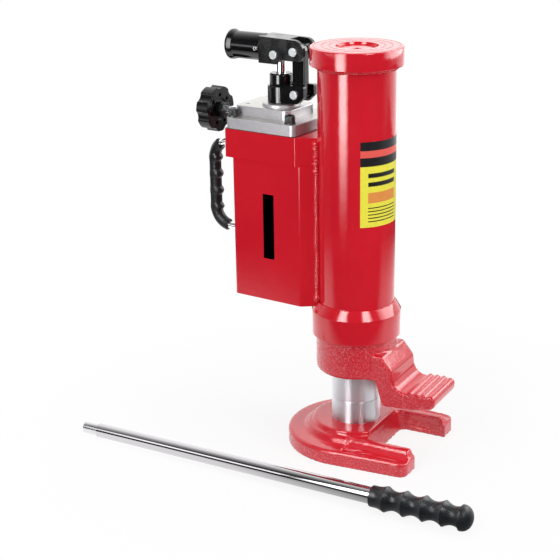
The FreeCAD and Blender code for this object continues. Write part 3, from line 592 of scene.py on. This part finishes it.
def blob(place, size, seed):
    """A lump of weld metal: a ball whose radius swells with noise, as a grid of turn and tilt."""
    turn = np.linspace(0, 2 * math.pi, 25)[:-1, None]
    tilt = np.linspace(0, math.pi, 13)[None, :]
    ball = np.stack([np.cos(turn) * np.sin(tilt), np.sin(turn) * np.sin(tilt), np.cos(tilt) + 0 * turn], -1)
    swell = 1 + 0.16 * lattice_noise(ball.reshape(-1, 3) + 9, 0.9, seed).reshape(ball.shape[:2])
    return grid_mesh("lump", np.array(place) + ball * swell[..., None] * np.array(size), True, False)


lumps = [blob((-33.5 * MM, side * 34.0 * MM, 184 * MM), (4.6 * MM, 3.6 * MM, 5.2 * MM), 21 + side)
         for side in (-1, 1)]
lumps += [blob((-34.0 * MM, side * 34.2 * MM, z * MM), (3.6 * MM, 3.0 * MM, 3.4 * MM), int(z) + side)
          for side in (-1, 1) for z in (368.0, 361.5, 352.0, 344.5, 336.0)]
side_weld = joined("side_weld_beads", beads + lumps)
side_weld.shade_smooth()
side_weld = linked("side_weld_beads", side_weld, "jack_body", "reservoir_welds")
side_weld.data.materials.append(weld_red)


# ---- reservoir -----------------------------------------------------------------------------
# Folded and welded sheet-steel oil box under a thick block. The edges of both are only just
# broken, and the enamel is the tube's.
def eased(node, name, width, segments=3, slot=None):
    """A CAD piece whose sharp edges are rounded by `width`. Its cylinders are shaded smooth, and its
    normals are weighted by area, so that flat faces stay flat round their holes."""
    made = bpy.data.objects.new(name, merged_skin(node))
    bpy.context.scene.collection.objects.link(made)
    edge = made.modifiers.new("broken_edges", "BEVEL")
    edge.limit_method = "ANGLE"
    edge.angle_limit = math.radians(38)
    edge.width, edge.segments = width, segments
    edge.miter_outer = "MITER_ARC"
    mesh = bpy.data.meshes.new_from_object(made.evaluated_get(bpy.context.evaluated_depsgraph_get()))
    smooth_by_angle(mesh, 30)
    made.modifiers.clear()
    made.data = mesh
    made.modifiers.new("flat_faces", "WEIGHTED_NORMAL").keep_sharp = True
    mesh = bpy.data.meshes.new_from_object(made.evaluated_get(bpy.context.evaluated_depsgraph_get()))
    bpy.data.objects.remove(made)
    mesh.name = name
    mesh.materials.clear()
    return linked(name, mesh, body_of_node[node], node, slot)


def painted(piece, *looks):
    """Gives a piece its finishes and hands it back."""
    for look in looks:
        piece.data.materials.append(look)
    return piece


painted(eased("reservoir_tank", "oil_box", 0.9 * MM), red)
block = painted(eased("valve_block", "top_block", 0.9 * MM), red)


# ---- pump body -----------------------------------------------------------------------------
# Aluminium casting: speckled grey on its flanks, and milled on every flat that faces up. A thin
# black gasket lies under it.
def cast_aluminium(name, color, roughness, speckle, lines):
    """Aluminium with a fine speckled skin, or with straight cutter lines across it."""
    look, tree, shader, own = new_look(name, color, roughness, 0.75)
    tone = ramp(tree, noise_of(tree, own, 240.0, 4.0), [(0.3, [0.90 * c for c in color]), (0.7, color)])
    tree.links.new(tone, shader.inputs["Base Color"])
    rough = ramp(tree, noise_of(tree, own, 260.0, 3.0), [(0.3, roughness * 0.9), (0.7, roughness * 1.15)])
    tree.links.new(rough, shader.inputs["Roughness"])
    cut = noise_of(tree, own, 30.0, 2.0, (1, 40, 1))
    bumped(tree, shader, [(noise_of(tree, own, 1400.0, 2.0), speckle), (cut, lines)])
    return look


flank_metal = cast_aluminium("cast_aluminium", (0.40, 0.39, 0.41), 0.42, 0.00003, 0.0)
milled_metal = cast_aluminium("milled_aluminium", (0.46, 0.45, 0.42), 0.34, 0.00001, 0.00001)
body = painted(eased("pump_body", "pump_casting", 0.8 * MM), flank_metal, milled_metal)
upward = np.empty(len(body.data.polygons) * 3)
body.data.polygons.foreach_get("normal", upward)
faces_up = 0.95
body.data.polygons.foreach_set("material_index", (upward.reshape(-1, 3)[:, 2] > faces_up).astype(np.int32))

gasket_look, tree, shader, own = new_look("gasket_paper", (0.03, 0.028, 0.026), 0.8)
bumped(tree, shader, [(noise_of(tree, own, 900.0, 3.0), 0.0001)])
painted(eased("pump_gasket", "gasket", 0.1 * MM, 2), gasket_look)


# ---- cap screws ----------------------------------------------------------------------------
# Black M8 socket-head screws with straight-knurled heads, on spring washers, and the small vent
# screw in greyer steel.
def black_steel(name, roughness, color=(0.028, 0.028, 0.030)):
    """Black oxide: dark, half-bright, with patches of grey."""
    look, tree, shader, own = new_look(name, color, roughness, 0.75, **{"IOR": 1.8})
    lighter_patches = ramp(tree, noise_of(tree, own, 420.0, 4.0), [(0.45, color), (0.85, [3.2 * c for c in color])])
    tree.links.new(lighter_patches, shader.inputs["Base Color"])
    bumped(tree, shader, [(noise_of(tree, own, 900.0, 3.0), 0.00003)])
    return look


oxide = black_steel("black_oxide", 0.30)
screw_low, screw_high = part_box("cap_screws")
washer_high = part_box("lock_washers")[1]
head_size, seat = 6.0 * MM, washer_high.z


def cap_screw(x, y):
    """A knurled head and shank: rings of points, each ring's radius r(a) plain, ridged by 30 ridges
    |cos 15a|, or six-sided, half_flats / cos(a folded to 60 degrees)."""
    ridge, half_flats = 0.35 * MM, 3.0 * MM
    a = np.linspace(0, 2 * math.pi, 240, endpoint=False)
    ridged = head_size - ridge + ridge * np.abs(np.cos(15 * a)) ** 0.7
    hexed = half_flats / np.cos((a + math.pi / 6) % (math.pi / 3) - math.pi / 6)
    plain = np.ones_like(a)
    rings = [(0 * plain, screw_low.z), (4 * MM * plain, screw_low.z), (4 * MM * plain, seat),
             (head_size * 0.97 * plain, seat), (ridged, seat + 0.5 * MM), (ridged, screw_high.z - 1.1 * MM),
             (0.97 * head_size * plain, screw_high.z - 0.9 * MM), (0.86 * head_size * plain, screw_high.z),
             (hexed + 0.2 * MM, screw_high.z), (hexed, screw_high.z - 0.3 * MM),
             (hexed, screw_high.z - 4 * MM), (0 * plain, screw_high.z - 4.6 * MM)]
    places = np.stack([np.stack([x + r * np.cos(a), y + r * np.sin(a), z * plain], -1) for r, z in rings], 1)
    return grid_mesh("cap_screw", places, True, False)


screw_x = (screw_low.x + head_size, screw_high.x - head_size)
screw_y = screw_high.y - head_size
screws = joined("cap_screws_knurled", [cap_screw(x, y) for x in screw_x for y in (-screw_y, screw_y)])
smooth_by_angle(screws, 32)
screws = painted(linked("cap_screws_knurled", screws, "jack_body", "cap_screws"), oxide)
painted(eased("lock_washers", "spring_washers", 0.25 * MM, 2), oxide)
painted(eased("vent_screw", "vent_plug", 0.15 * MM, 2),
        black_steel("vent_steel", 0.35, (0.10, 0.10, 0.10)))


# ---- hand pump -----------------------------------------------------------------------------
# Barrel with a clamped fork and a gland nut, both sprayed gloss black, a chromed plunger, and the
# black strap link that the lever socket rocks on.
def black_enamel(name, roughness, grain):
    """Gloss black spray with a little orange peel and a few dark grey flecks."""
    look, tree, shader, own = new_look(name, (0.003, 0.003, 0.0035), roughness, 0.0, **{"IOR": 1.5})
    fleck = ramp(tree, noise_of(tree, own, 380.0, 5.0), [
        (0.0, (0.003, 0.003, 0.0035)), (0.74, (0.005, 0.005, 0.006)), (0.82, (0.04, 0.04, 0.045))])
    tree.links.new(fleck, shader.inputs["Base Color"])
    wiped = ramp(tree, noise_of(tree, own, 90.0, 3.0), [(0.3, roughness * 0.7), (0.75, roughness * 1.5)])
    tree.links.new(wiped, shader.inputs["Roughness"])
    bumped(tree, shader, [(noise_of(tree, own, 160.0, 2.0), grain),
                          (noise_of(tree, own, 900.0, 2.0), grain / 3)])
    return look


def chrome(name, roughness=0.06, color=(0.86, 0.86, 0.87)):
    """Hard chrome: almost a mirror, with very slight waves and a few dull spots."""
    look, tree, shader, own = new_look(name, color, roughness, 1.0)
    dull = ramp(tree, noise_of(tree, own, 55.0, 4.0), [(0.45, roughness), (0.8, roughness * 2.4)])
    tree.links.new(dull, shader.inputs["Roughness"])
    bumped(tree, shader, [(noise_of(tree, own, 40.0, 1.0), 0.00006)])
    return look


gloss_black = black_enamel("black_enamel", 0.12, 0.00003)
mirror = chrome("hard_chrome")
zinc_look = ground_steel("bright_zinc", (0.72, 0.73, 0.74), 0.25)
painted(eased("pump_collar", "fork_collar", 0.6 * MM), gloss_black)
painted(eased("gland_nut", "gland_nut_turned", 0.5 * MM), gloss_black)
painted(eased("link", "link_strap", 0.8 * MM), gloss_black)
painted(eased("plunger", "plunger_rod", 0.6 * MM), mirror)


def lathe_faced(name, node):
    """Bright zinc whose end faces keep fine lathe rings, centred on the pin."""
    low_, high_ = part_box(node)
    middle_ = (low_ + high_) / 2
    look, tree, shader, own = new_look(name, (0.50, 0.51, 0.52), 0.42, 0.6)
    centred = add(tree, "ShaderNodeMapping", {"Vector": own, "Location": -middle_}).outputs[0]
    pattern = {"Vector": centred, "Scale": 520.0, "Distortion": 0.6, "Detail": 2.0}
    rings = add(tree, "ShaderNodeTexWave", pattern, wave_type="RINGS", rings_direction="Y").outputs["Fac"]
    tone = ramp(tree, rings, [(0.2, (0.38, 0.40, 0.41)), (0.8, (0.54, 0.56, 0.57))])
    tree.links.new(tone, shader.inputs["Base Color"])
    bumped(tree, shader, [(rings, 0.00001)])
    return look


for node in ("lower_link_pin", "upper_link_pin", "plunger_pin"):
    painted(eased(node, node + "_turned", 0.35 * MM), lathe_faced(node + "_zinc", node))


# ---- lever socket --------------------------------------------------------------------------
# Black tube with a rolled mouth, welded to a bent channel that rocks on the link. The channel
# is a little duller than the tube.
def along_x(mesh, y, z):
    """Lays a piece that was turned about +Z along +X, its axis at (y, z)."""
    mesh.transform(Matrix.Translation((0, y, z)) @ Matrix.Rotation(math.pi / 2, 4, "Y"))
    return mesh


socket_low, socket_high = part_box("socket_tube")
axis_z = (socket_low.z + socket_high.z) / 2
mouth, back = socket_low.x, socket_high.x
bore, wall, lip = 9.2 * MM, 15.8 * MM, socket_high.y
socket = turned("socket_rolled", rounded_profile([
    (bore, back), (wall, back, 0.3 * MM), (wall, mouth + 9 * MM, 8 * MM), (lip, mouth + 3.2 * MM, 1.2 * MM),
    (lip, mouth + 0.6 * MM, 0.9 * MM), (lip - 2.2 * MM, mouth, 0.8 * MM),
    (lip - 3.4 * MM, mouth + 1.6 * MM, 1.0 * MM),
    (bore, mouth + 3.5 * MM, 1.2 * MM)]))
socket = linked("socket_rolled", along_x(socket, 0, axis_z), "lever_socket", "socket_tube")
painted(socket, gloss_black)
painted(eased("socket_bracket", "socket_channel", 0.7 * MM),
        black_enamel("bracket_enamel", 0.24, 0.00003))
painted(eased("clamp_screw", "clamp_screw_turned", 0.2 * MM, 2), zinc_look)


# ---- release valve -------------------------------------------------------------------------
# Moulded black hand knob with seven lobes, cored by blind holes between them, on a steel stem
# with a locknut; the stem runs through a gland in the pump body.
def moulded_black(name, roughness, color=(0.004, 0.004, 0.0045)):
    """Moulded plastic: nearly even black, faintly pebbled, its gloss a little patchy."""
    look, tree, shader, own = new_look(name, color, roughness, 0.0, **{"Specular IOR Level": 0.28})
    worn = ramp(tree, noise_of(tree, own, 70.0, 2.0), [(0.35, roughness * 0.8), (0.7, roughness * 1.3)])
    tree.links.new(worn, shader.inputs["Roughness"])
    tone = ramp(tree, noise_of(tree, own, 25.0, 3.0), [(0.3, color), (0.8, [1.6 * c for c in color])])
    tree.links.new(tone, shader.inputs["Base Color"])
    bumped(tree, shader, [(noise_of(tree, own, 700.0, 2.0), 0.00003)])
    return look


painted(eased("handwheel", "hand_knob", 0.7 * MM), moulded_black("knob_plastic", 0.22))
painted(eased("valve_gland", "valve_gland_turned", 0.4 * MM), oxide)
painted(eased("stem_locknut", "stem_locknut_hex", 0.4 * MM), oxide)
painted(eased("valve_stem", "valve_stem_turned", 0.4 * MM), zinc_look)


# ---- carry handle --------------------------------------------------------------------------
# Chromed bar bent twice and welded to the box and the block, in a soft black grip that stops
# within both bends and swells between the fingers on its inner side.
handle_low, handle_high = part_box("carry_handle")
bar_radius = handle_high.y
bar_x, bar_top, bar_bottom = handle_low.x + bar_radius, handle_high.z - bar_radius, handle_low.z + bar_radius
bend = 22 * MM
sides_round = 48


def handle_line(start, end, steps):
    """Centre line of the bar in the plane y = 0: in along the top leg, round a quarter circle, down,
    round another and out. Returns places and unit tangents at equal steps along it."""
    turn = np.linspace(0, math.pi / 2, 24)
    upper = np.stack([bar_x + bend - bend * np.sin(turn), bar_top - bend + bend * np.cos(turn)], -1)
    lower = np.stack([bar_x + bend - bend * np.cos(turn), bar_bottom + bend - bend * np.sin(turn)], -1)
    line = np.vstack([[start, bar_top], upper, lower, [end, bar_bottom]])
    run = np.concatenate([[0], np.cumsum(np.linalg.norm(np.diff(line, axis=0), axis=1))])
    at = np.linspace(0, run[-1], steps)
    places = np.stack([np.interp(at, run, line[:, k]) for k in range(2)], -1)
    tangent = np.gradient(places, axis=0)
    return places, tangent / np.linalg.norm(tangent, axis=1)[:, None]


def swept(name, places, tangent, radius):
    """A tube round a line in the plane y = 0: the angle a and the step s go to
    place(s) + radius(s, a) * (cos a * inward(s) + sin a * Y), inward being the line's inner side."""
    a = np.linspace(0, 2 * math.pi, sides_round, endpoint=False)
    inward = np.stack([-tangent[:, 1], 0 * tangent[:, 0], tangent[:, 0]], -1)
    middle = np.stack([places[:, 0], 0 * places[:, 0], places[:, 1]], -1)
    out = np.cos(a)[None, :, None] * inward[:, None] + np.sin(a)[None, :, None] * np.array([0, 1, 0])
    tube_ = middle[:, None] + radius[..., None] * out
    mesh = grid_mesh(name, tube_.transpose(1, 0, 2), True, False)
    smooth_by_angle(mesh, 40)
    return mesh


bar_steps = 160
bent_bar = swept("carry_bar", *handle_line(handle_high.x, handle_high.x, bar_steps),
                 np.full((bar_steps, sides_round), bar_radius))
painted(linked("carry_bar", bent_bar, "jack_body", "carry_handle"), mirror)

grip_steps, bare_top, bare_bottom = 274, 30, 13
line, heading_ = handle_line(bar_x + bend + 1 * MM, bar_x + bend - 3 * MM, grip_steps)
line, heading_ = line[bare_top:-bare_bottom], heading_[bare_top:-bare_bottom]
steps = len(line)
share = np.linspace(0, 1, steps)
a = np.linspace(0, 2 * math.pi, sides_round, endpoint=False)
finger_pitch, swell_reach, swell_height = 21 * MM, 43 * MM, 2.6 * MM
grip_radius = 7.2 * MM
above_middle = line[:, 1] - (bar_top + bar_bottom) / 2
swells = np.maximum(0, np.cos(2 * math.pi * (above_middle / finger_pitch + 0.5))) ** 0.8
swells *= np.abs(above_middle) < swell_reach
toward = np.maximum(0, np.cos(a)) ** 1.2
rolled = np.minimum(1, np.minimum(share, 1 - share) / 0.006) ** 0.5
girth = grip_radius * (0.85 + 0.15 * rolled)[:, None] + swell_height * swells[:, None] * toward[None, :] \
    + 0.35 * MM * swells[:, None]
vinyl = moulded_black("grip_vinyl", 0.34, (0.009, 0.010, 0.012))
grip = swept("carry_grip_moulded", line, heading_, girth)
painted(linked("carry_grip_moulded", grip, "jack_body", "carry_grip"), vinyl)


# ---- pump lever ----------------------------------------------------------------------------
# Chromed steel tube with a turned tip for the socket and a dipped vinyl grip: four raised
# finger ridges with hollows between them, and a round end.
tip_mount = next(m for m in frame["record"]["mounts"] if m["name"] == "lever_tip")
lever_axis = -Vector(tip_mount["axis"])
mount_depth = 10.5
tip_end = Vector(tip_mount["pos_m"]) - lever_axis * mount_depth * MM
lever_place = Matrix.Translation(tip_end) @ lever_axis.to_track_quat("Z", "X").to_matrix().to_4x4()


def lever_piece(name, node, profile, look, closed=True):
    """A piece turned about the lever's own axis, measured from the tip, then laid in place."""
    mesh = turned(name, profile, steps=96, closed=closed)
    mesh.transform(lever_place)
    return painted(linked(name, mesh, "pump_lever", node), look)


tip_size, tube_size, shoulder_at, lever_span = 8 * MM, 9.5 * MM, 21 * MM, 510 * MM
inside, plug_at = tube_size - 2 * MM, lever_span - 12 * MM
lever_piece("lever_tip_turned", "lever_tip", rounded_profile([
    (0, 0), (tip_size, 0, 0.8 * MM), (tip_size, shoulder_at), (inside, shoulder_at),
    (inside, shoulder_at + 20 * MM), (0, shoulder_at + 20 * MM)]),
    chrome("bright_tip", 0.20, (0.50, 0.50, 0.51)), closed=False)
lever_piece("lever_tube_drawn", "lever_tube", rounded_profile([
    (inside, shoulder_at), (tube_size, shoulder_at, 0.5 * MM), (tube_size, plug_at), (inside, plug_at)]),
    chrome("lever_chrome", 0.05, (0.44, 0.43, 0.44)))


def grip_profile(start, first, pitch, end):
    """Radius of the vinyl grip along it: a cuff that widens, ridges with hollows |sin|^0.9 between,
    and a bulb that closes as a superellipse's quarter, of power 2.4."""
    crest, hollow, widest = 14.65, 4.0, 14.5 * MM
    x = np.linspace(start, end, 300)
    wave = np.abs(np.sin(math.pi * (x - first) / pitch))
    fingers = (crest - hollow * wave ** 0.9) * MM
    cuff = (12.0 + 2.6 * np.clip((x - start - 7 * MM) / (first - start - 7 * MM), 0, 1) ** 1.6) * MM
    bulb_at = first + 3.86 * pitch
    fall = np.clip((x - bulb_at) / (end - bulb_at), 0, 1)
    bulb = widest * np.sqrt(1 - fall ** 2.4)
    r = np.where(x < first, cuff, fingers)
    return np.stack([np.where(x > bulb_at, bulb, np.minimum(r, widest)), x], -1)


cuff_end = 392 * MM
outline = grip_profile(cuff_end, 409 * MM, 22.8 * MM, lever_span)
snug = tube_size + 0.05 * MM
outline = np.vstack([[snug, cuff_end], outline[:-1], [0, lever_span], [0, plug_at + 0.2 * MM],
                     [snug, plug_at + 0.2 * MM]])
lever_piece("lever_grip_dipped", "lever_grip", outline, vinyl)


# ---- label and stripe ----------------------------------------------------------------------
# A plain printed label wrapped on the tube, with a dark header and a yellow field of blank bars,
# and a plain black stripe of film on the box. Nothing on them can be read.
def ink(name, color, roughness=0.3):
    """Printed ink on film: even, faintly mottled."""
    look, tree, shader, own = new_look(name, color, roughness, 0.0, **{"IOR": 1.46})
    tone = ramp(tree, noise_of(tree, own, 300.0, 2.0), [(0.3, [0.93 * c for c in color]), (0.7, color)])
    tree.links.new(tone, shader.inputs["Base Color"])
    return look


label_left, label_right, label_bottom, label_top = -53.8, 62.0, 279 * MM, 377 * MM
label_width = math.radians(label_right - label_left) * tube_radius


def label_patch(left, right, low_, high_, lift, ink_number):
    """A patch on the tube: (s, t) in metres from the label's lower left corner goes to the angle
    s / radius and the height t."""
    s, t = np.meshgrid(np.linspace(left, right, 40), np.linspace(low_, high_, 12), indexing="ij")
    angle = math.radians(label_left) + s / tube_radius
    radius = tube_radius + lift
    places = np.stack([radius * np.cos(angle), radius * np.sin(angle), label_bottom + t], -1)
    index = np.arange(s.size).reshape(s.shape)
    quads = np.stack([index[:-1, :-1], index[1:, :-1], index[1:, 1:], index[:-1, 1:]], -1).reshape(-1, 4)
    return places.reshape(-1, 3), quads, ink_number


YELLOW, DARK, CORAL, AMBER = range(4)
tall = label_top - label_bottom
header = 70 * MM
film, printed = 0.10 * MM, 0.13 * MM
patches = [label_patch(0, label_width, 0, tall, film, YELLOW),
           label_patch(0, label_width, header, tall, printed, DARK),
           label_patch(0, label_width, header + 10 * MM, header + 18 * MM, 0.16 * MM, CORAL),
           label_patch(9 * MM, 50 * MM, 57 * MM, 62 * MM, printed, DARK),
           label_patch(9 * MM, 50 * MM, 47 * MM, 52 * MM, printed, DARK),
           label_patch(9 * MM, 50 * MM, 28 * MM, 40 * MM, printed, AMBER)]
patches += [label_patch(9 * MM, 50 * MM, (6.0 + 3.9 * k) * MM, (7.2 + 3.9 * k) * MM, printed, DARK)
            for k in range(5)]
places, faces, inks, count = [], [], [], 0
for points, quads, number in patches:
    places.append(points)
    faces += (quads + count).tolist()
    inks += [number] * len(quads)
    count += len(points)
label_mesh = bpy.data.meshes.new("tube_label")
label_mesh.from_pydata(np.vstack(places), [], faces)
label_mesh.polygons.foreach_set("material_index", inks)
label_mesh.shade_smooth()
label = linked("tube_label", label_mesh, "jack_body", slot="red_paint")
label_dark = ink("label_dark", (0.012, 0.012, 0.014))
painted(label, ink("label_yellow", (0.90, 0.83, 0.06)), label_dark,
        ink("label_coral", (0.85, 0.11, 0.09)), ink("label_amber", (0.82, 0.30, 0.06)))

stripe_x, stripe_z = np.meshgrid(np.linspace(-99.0, -84.0, 6) * MM, np.linspace(225, 303, 20) * MM,
                                 indexing="ij")
stripe = grid_mesh("tank_stripe", np.stack([stripe_x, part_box("reservoir_tank")[0].y - film + 0 * stripe_x,
                                            stripe_z], -1), False)
painted(linked("tank_stripe", stripe, "jack_body", slot="red_paint"), label_dark)


# ---- hidden works --------------------------------------------------------------------------
# What the jack holds inside, such as its bronze bush, rubber seals, balls and strainer, and the
# clips and spacers on the link's pins. They keep their plain shapes.
def rubber(name):
    """Moulded seal rubber: dull, faintly mottled."""
    look, tree, shader, own = new_look(name, (0.022, 0.022, 0.022), 0.6)
    bumped(tree, shader, [(noise_of(tree, own, 1200.0, 2.0), 0.00005)])
    return look


bronze = ground_steel("bearing_bronze", (0.62, 0.42, 0.20), 0.3)
seal_rubber = rubber("seal_rubber")
inner_looks = {
    "piston": ram_steel, "piston_nut": ram_steel, "ram_dowel": ram_steel, "seal_retainer": ram_steel,
    "guide_bush": bronze, "piston_seal": seal_rubber, "rod_seal": seal_rubber, "rod_wiper": seal_rubber,
    "plunger_seal": seal_rubber, "pump_barrel": oxide, "suction_ball": mirror, "valve_ball": mirror,
    "suction_strainer": zinc_look, "lower_pin_clip": zinc_look, "upper_pin_clip": zinc_look,
    "plunger_pin_clip": zinc_look, "lower_spacers": zinc_look, "upper_spacers": zinc_look,
}
for node, look in inner_looks.items():
    mesh = frame["nodes"][node].data
    mesh.materials.clear()
    mesh.materials.append(look)
